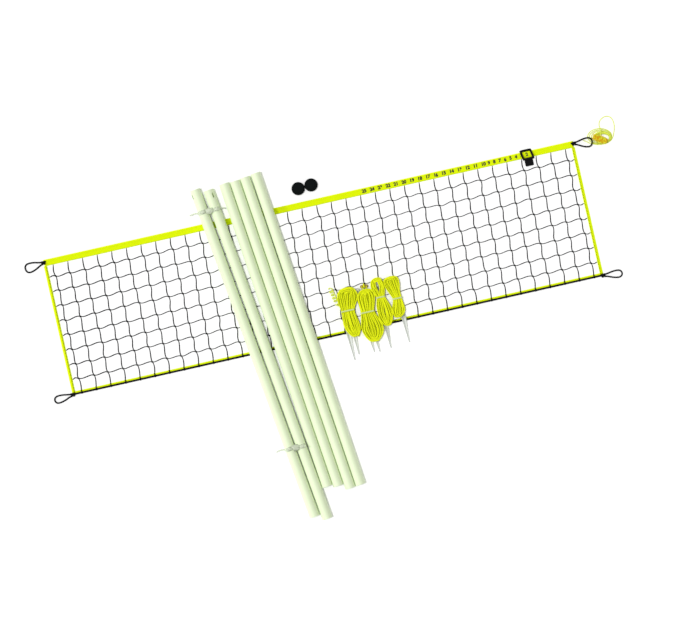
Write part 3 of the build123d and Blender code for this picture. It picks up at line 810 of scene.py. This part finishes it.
def hank_points(nested, top, stations, low, seed):
    """The route of a rope wound into a hank: nested turns in layers, in mm."""
    rng = random.Random(seed)
    points = []
    middle = len(stations) // 2
    for layer, z in enumerate(HANK_LAYERS):
        ranks = range(nested) if layer % 2 == 0 else range(nested - 1, -1, -1)
        stagger = (0.0, 0.5, 0.05)[layer]
        for rank in ranks:
            inward = rank + stagger * (0.5 if stations[0][3] else 1.0)
            tip_in = TIP_STEP * inward + rng.uniform(-1.5, 2.5) - TIP_OUT
            side_points = []
            for index, (y, x, half, gap) in enumerate(stations):
                step = gap or half / (nested - 0.35)
                loose = 0.0 if index == middle else 1.0
                offset = max(2.0, (half - inward * step) * (1 + 0.1 * loose))
                side_points.append((y, x, offset, loose))
            tip_half = side_points[0][2]
            low_half = side_points[-1][2]
            top_layer = layer == len(HANK_LAYERS) - 1
            sway = rng.uniform(4.0, 8.5) if top_layer else 1.4
            jump = 3.2 if top_layer else 1.2

            def wave(loose):
                return loose * sway * rng.uniform(-1, 1)

            def height(loose):
                return z + loose * rng.uniform(-1.0, 1.0) * jump + 0.4

            points.append((low[0] + low_half * 0.42, low[1] + tip_in, height(1)))
            for y, x, offset, loose in reversed(side_points):
                points.append((x + offset + wave(loose), y + wave(loose), height(loose)))
            points.append((top[0] + tip_half * 0.6, top[1] - tip_in, height(1)))
            points.append((top[0] - tip_half * 0.6, top[1] - tip_in, height(1)))
            for y, x, offset, loose in side_points:
                points.append((x - offset + wave(loose), y + wave(loose), height(loose)))
            points.append((low[0] - low_half * 0.42, low[1] + tip_in + 4, height(1)))
    return points


def make_hank(name, nested, top, stations, low):
    """One hanked guy rope as a laid rope at its full length."""
    points = hank_points(nested, top, stations, low, len(name) + nested * 7 + top[0])
    size = dict(diameter=ROPE_D, pitch=0.034, step=0.003, digits=2)
    make_rope(name + "_rope", points, [name], name.removeprefix("guy_"), "rope_yellow", ROPE, **size)


def make_chain_tail():
    """The chained end of the first guy rope: loops drawn through each other."""
    start, end = np.array([40.0, 200.0]), np.array([15.0, 316.0])
    way = (end - start) / np.linalg.norm(end - start)
    aside = np.array([-way[1], way[0]])
    loops, per_loop = 5, 14
    points = [(56.0, 184.0, 30.0)]
    for index in range(loops * per_loop + 1):
        turn = TAU * index / per_loop
        along = 8 + index / per_loop * 22.0 - 10.0 * math.sin(turn)
        across = 12.0 * math.cos(turn) + 1.5 * math.sin(index * 0.7)
        x, y = start + way * along + aside * across
        points.append((x, y, 30.5 + 3.0 * math.sin(turn * 1.5)))
    size = dict(diameter=TAIL_D, pitch=0.026, step=0.002, digits=3)
    make_rope("guy_chain_tail_rope", points, ["guy_chain_tail"], "hank_1", "rope_yellow", ROPE_PALE, **size)


def make_runner_rope():
    """The end of the second guy rope, threaded through the runner and round its waist."""
    points = [(232, 250, 46), (226, 268, 46), (223.8, 282, 41), (223.8, 282, 24), (230, 284, 21.5), (233, 276, 24)]
    for index in range(2 * 12 + 1):
        turn = TAU * index / 12
        points.append((235.0 + 8.0 * index / 24, 285.0 - 13.5 * math.cos(turn), 31.5 + 13.0 * math.sin(turn)))
    points += [(246, 276, 24), (248, 284, 21.5), (254.2, 280.5, 24), (254.2, 280.5, 41), (252, 268, 46), (246, 250, 46)]
    size = dict(diameter=RUNNER_D, pitch=0.024, step=0.002, digits=3)
    make_rope("guy_runner_rope", points, [], "hank_2", "rope_yellow", ROPE, far_end="object", lay="loose", **size)


def coil_points():
    """The head rope's route: from under the corner loop into the coil, and out in one big loop."""
    rng = random.Random(8)
    points = [(1878, 910, 3.5), (1888, 904, 3.4), (1904, 893, 3.3), (1916, 882, 3.3)]
    turns, per_turn = 12, 14
    half_x, half_y = 86, 55.5
    tilt = math.radians(-13)
    for index in range(turns * per_turn):
        k = index / per_turn
        share = 1.03 - 0.085 * min(k, 4.0) - 0.028 * max(k - 4.0, 0.0)
        angle = math.radians(235) + TAU * k
        wobble = math.radians(3.0) * math.sin(k * 1.7)
        cx = 2074.0 - 1.7 * k - half_x * share + 1.2 * math.sin(k * 2.1)
        cy = 855.5 + 1.4 * k + half_y * share + 1.0 * math.cos(k * 1.3)
        ex, ey = half_x * share * math.cos(angle), half_y * share * math.sin(angle)
        x = cx + ex * math.cos(tilt + wobble) - ey * math.sin(tilt + wobble)
        y = cy + ex * math.sin(tilt + wobble) + ey * math.cos(tilt + wobble)
        layer, later = int(k) % 3, int(k + 1) % 3
        climb = max(0.0, (k % 1 - 0.7) / 0.3)
        crowd = 1.0 if k > 4 else 0.5 + 0.5 * math.cos(angle + math.radians(30))
        z = 3.4 + 5.2 * crowd * (layer + (later - layer) * climb) + 0.3 * rng.uniform(-1, 1)
        points.append((x, y, max(3.2, z)))
    points += [
        (2046, 858, 12.0), (2076, 886, 10.0), (2090, 918, 6.0), (2101, 948, 3.8), (2104, 982, 3.3), (2096, 1014, 3.3),
        (2076, 1032, 3.3), (2048, 1034, 3.3), (2020, 1020, 3.3), (2004, 996, 3.3), (2004, 972, 3.8),
        (2010, 952, 9.0), (2004, 932, 16.0), (2000, 912, 22.0), (1998, 898, 25.0),
    ]
    return points


def make_coil():
    """The loosely coiled head rope at the upper right corner."""
    size = dict(diameter=COIL_D, pitch=0.02, step=0.0025, digits=2)
    name = "head_rope_coil"
    make_rope(name + "_rope", coil_points(), [name], "net", "rope_yellow", ROPE_PALE, far_end="object", **size)


def make_wrap():
    """The gold rope wound tightly round the middle of the coil."""
    middle, turn = np.array([1988.0, 894.0]), math.radians(-33)
    way = np.array([math.cos(turn), math.sin(turn)])
    aside = np.array([-way[1], way[0]])
    turns, per_turn = 18, 12
    half_long, half_wide, half_high = 50.0, 22.5, 7.0
    points = []
    rng = random.Random(4)
    for index in range(turns * per_turn + 1):
        share = index / (turns * per_turn) * 2 - 1
        along = half_long * share
        full = 0.62 + 0.38 * math.sqrt(max(0.0, 1 - share**2))
        angle = TAU * index / per_turn
        across = half_wide * full * math.cos(angle) + rng.uniform(-0.6, 0.6)
        x, y = middle + way * along + aside * across
        points.append((x, y, 26.0 + half_high * full * math.sin(angle)))
    size = dict(diameter=WRAP_D, pitch=0.02, step=0.0022, digits=2)
    name = "head_rope_wrap"
    make_rope(name + "_rope", points, [name], "net", "rope_gold", ROPE_GOLD, far_end="object", **size)


# --------------------------------------------------------------------------- the score marker


def squared(share):
    """Pushes a sine's share outward, so that a round section turns into one with soft corners."""
    return np.sign(share) * np.abs(share) ** 0.55


def make_marker_bead():
    """The rounded rim moulded round the marker's window."""
    wide, high, skew = 67.0, 59.0, math.tan(math.radians(10))
    corner, section_w, section_h = 7.0, 13.4, 5.6
    flat = []
    for x, y, start in ((1, 1, 0), (-1, 1, 90), (-1, -1, 180), (1, -1, 270)):
        flat += arc(x * (wide / 2 - corner), y * (high / 2 - corner), corner, start, start + 90, 7)
    rim = [(MARKER_X + x - y * skew, MARKER_Y + y, MARKER_Z) for x, y in flat + flat[:1]]
    line = stepped(np.array(rim) * MM, 0.003)[:-1]
    turn = TAU * np.arange(14) / 14
    section = np.stack([section_w / 2 * MM * squared(np.cos(turn)), section_h / 2 * MM * squared(np.sin(turn))], 1)
    bead = Bin()
    bead.loop(line, section)
    place(bead.make("marker_rim", MARKER), "score_marker", "marker_black")


# --------------------------------------------------------------------------- ties


def tube_place(which, down):
    """The centre of a tied tube some mm down it, and the way down it."""
    (top_x, top_y), (low_x, low_y) = PAIR[which]
    way = np.array([low_x - top_x, low_y - top_y, 0.0])
    way /= np.linalg.norm(way)
    return np.array([top_x, top_y, TUBE_Z]) + way * down, way


def ribbon(bin_, line, wide, thick, turn):
    """A flat strip along a line, its width turned about the line by an angle at each point."""
    half_w, half_t = wide / 2 * MM, thick / 2 * MM
    box = np.array([(x, -half_t) for x in (-half_w, 0, half_w)] + [(x, half_t) for x in (half_w, 0, -half_w)])
    turn = np.asarray(turn, float)[:, None]
    x, y = box[:, 0], box[:, 1]
    section = np.stack([x * np.cos(turn) - y * np.sin(turn), x * np.sin(turn) + y * np.cos(turn)], -1)
    bin_.rings(*swept(line * MM, section))


def tie_ring(bin_, centre, way, seed):
    """Crinkled film wound round one tube."""
    across = np.array([-way[1], way[0], 0.0])
    up = np.array([0, 0, 1.0])
    stations = np.linspace(-TIE_W / 2, TIE_W / 2, 9)
    rings = []
    turns = TAU * np.arange(48) / 48
    for offset, lift in [(s, 0.0) for s in stations] + [(s, 0.45) for s in stations[::-1]]:
        ring = []
        for a in turns:
            crinkle = noise.noise(Vector((math.cos(a) * 2.2, math.sin(a) * 2.2, offset * 0.13 + seed)))
            radius = TUBE_R + 0.55 + 0.42 * (1 + crinkle) + lift
            shift = 1.6 * noise.noise(Vector((math.cos(a), math.sin(a), seed * 3.1)))
            ring.append(centre + way * (offset + shift) + (across * math.cos(a) + up * math.sin(a)) * radius)
        rings.append(ring)
    rings = np.array(rings) * MM
    bin_.rings(rings[:, ::-1], np.linspace(0, 0.04, len(rings)), looped=True)


def film_lump(bin_, centre, across, sizes, seed):
    """A crumpled knot of film: an ellipsoid pushed in and out by noise."""
    side = np.array([-across[1], across[0], 0.0])
    rings = []
    turns = TAU * np.arange(20) / 20
    for tilt in np.linspace(0.06, math.pi - 0.06, 13):
        ring = []
        for a in turns:
            ball = np.array([math.cos(tilt), math.sin(tilt) * math.cos(a), math.sin(tilt) * math.sin(a)])
            crumple = 1 + 0.55 * noise.noise(Vector(ball * 2.6) + Vector((seed, 0, 0)))
            x, y, z = ball * sizes * crumple
            ring.append(centre + across * x + side * y + np.array([0, 0, z]))
        rings.append(ring)
    bin_.rings(np.array(rings)[:, ::-1] * MM, np.linspace(0, 0.04, 13))


def make_tie(name, down, left_tail, right_tail, right_rise):
    """A film tie round the pair, twisted between the tubes, with two curled tails."""
    left, left_way = tube_place("left", down)
    right, right_way = tube_place("right", down - 22.0)
    across = (right - left) / np.linalg.norm(right - left)
    up = np.array([0, 0, 1.0])
    tie = Bin()
    tie_ring(tie, left, left_way, down)
    tie_ring(tie, right, right_way, down + 5)
    gap = np.linalg.norm(right - left) - 2 * TUBE_R
    start = left + across * (TUBE_R - 1.0)
    line = np.array([start + across * s for s in np.linspace(0, gap + 2.0, 24)])
    for lift in (-3.0, 3.0):
        ribbon(tie, line + up * lift, 6.5, 1.1, np.linspace(0, TAU * 0.9, 24))
    rise = math.radians(right_rise)
    right_out = across * math.cos(rise) + up * math.sin(rise)
    middle = (left + right) / 2 + up * 30.0
    film_lump(tie, middle, across, np.array([30.0, 20.0, 13.0]), down * 0.1)
    film_lump(tie, left + up * 38.5 - across * 6.0, across, np.array([19.0, 12.0, 6.0]), down * 0.2)
    film_lump(tie, right + up * 38.5 + across * 8.0, across, np.array([16.0, 11.0, 6.0]), down * 0.3)
    for origin, out, length, curl in (
        (left - across * (TUBE_R + 1.0), -across, left_tail, 1.0),
        (right + right_out * (TUBE_R + 1.0), right_out, right_tail, -1.0),
    ):
        lean = np.cross(out, up)
        lean = lean / np.linalg.norm(lean)
        steps = np.linspace(0, 1, 18)
        line = []
        for s in steps:
            sway = lean * curl * 5.0 * math.sin(s * 4.4) * s
            line.append(origin + out * length * s + sway + up * 2.5 * math.sin(s * 5.0))
        line = np.array(line)
        ribbon(tie, line, 8.5, 0.9, 1.2 * np.sin(steps * 4.0) * curl)
        ribbon(tie, line + lean * 3.0 - up * 2.0, 6.0, 0.9, 1.57 + 1.4 * np.sin(steps * 3.0))
    place(tie.make(name + "_film", FILM), "tied_pair", "tie_clear", name)


# --------------------------------------------------------------------------- CAD nodes and the studio


def paint(nodes, material):
    """Gives CAD nodes a material."""
    for node in nodes:
        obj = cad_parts[node]
        obj.data.materials.clear()
        obj.data.materials.append(material)


def dress_cad():
    """Finishes the CAD nodes that are shown as they are."""
    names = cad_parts
    paint([n for n in names if n.startswith(("pair_tube", "pole_tube"))], TUBE)
    paint(["cap_left", "cap_right"], RUBBER)
    paint([n for n in names if n.startswith("stake")], STAKE)
    paint([n for n in names if n.startswith("hank_band")], BAND)
    paint(["guy_runner"], RUNNER)
    paint(["marker_frame", "marker_grip"], MARKER)


def make_studio():
    """The camera, the pale floor and soft light from the left."""
    camera = bpy.data.cameras.new("camera")
    camera.lens = VIEW_LENS
    camera.sensor_width = VIEW_SENSOR
    camera.clip_end = 100.0
    eye = bpy.data.objects.new("camera", camera)
    eye.location = (VIEW_X, VIEW_Y, VIEW_WIDE * VIEW_LENS / VIEW_SENSOR)
    eye.rotation_euler = (0, 0, math.radians(-VIEW_TURN))
    scene.collection.objects.link(eye)
    scene.camera = eye

    world = bpy.data.worlds.new("studio")
    world.use_nodes = True
    world.node_tree.nodes["Background"].inputs[0].default_value = (1.0, 1.0, 1.0, 1.0)
    world.node_tree.nodes["Background"].inputs[1].default_value = WORLD_LIGHT
    scene.world = world

    n = Nodes("floor_white", Roughness=0.9, Specular_IOR_Level=0.0)
    mottle = n.noise(0.8, 2.0)
    pale = n.ramp(mottle, (0.3, (0.93, 0.93, 0.93)), (0.7, (0.97, 0.97, 0.97)))
    corners = [(x * FLOOR_HALF, y * FLOOR_HALF, FLOOR_Z) for x, y in ((-1, -1), (1, -1), (1, 1), (-1, 1))]
    mesh = bpy.data.meshes.new("floor")
    mesh.from_pydata(corners, [], [(0, 1, 2, 3)])
    mesh.materials.append(n.finish(pale))
    floor = bpy.data.objects.new("floor", mesh)
    scene.collection.objects.link(floor)

    for name, power, height, lights_floor in LAMPS:
        sun = bpy.data.lights.new(name, "SUN")
        sun.energy = power
        sun.angle = math.radians(SUN_SPREAD)
        lamp = bpy.data.objects.new(name, sun)
        level, rise = math.cos(math.radians(height)), math.sin(math.radians(height))
        side = math.radians(180 - VIEW_TURN - LAMP_SWING)
        towards = Vector((level * math.cos(side), level * math.sin(side), rise))
        lamp.rotation_euler = towards.to_track_quat("Z", "Y").to_euler()
        scene.collection.objects.link(lamp)
        only = bpy.data.collections.new(name + "_receivers")
        only.objects.link(floor)
        only.collection_objects[0].light_linking.link_state = "INCLUDE" if lights_floor else "EXCLUDE"
        lamp.light_linking.receiver_collection = only
    scene.view_settings.view_transform = "Standard"


for corner, sizes in CORNERS.items():
    make_corner(corner, *sizes)
for hank, facts in HANKS.items():
    make_hank(hank, **facts)
make_chain_tail()
make_runner_rope()
make_coil()
make_wrap()
make_netting()
make_top_tape()
make_side_tape(1, "side_tape_right", "side_cord_right")
make_side_tape(-1, "side_tape_left", "side_cord_left")
make_head_cord()
make_foot()
make_numbers()
make_marker_bead()
for tie, sizes in TIES.items():
    make_tie(tie, *sizes)
dress_cad()
make_studio()
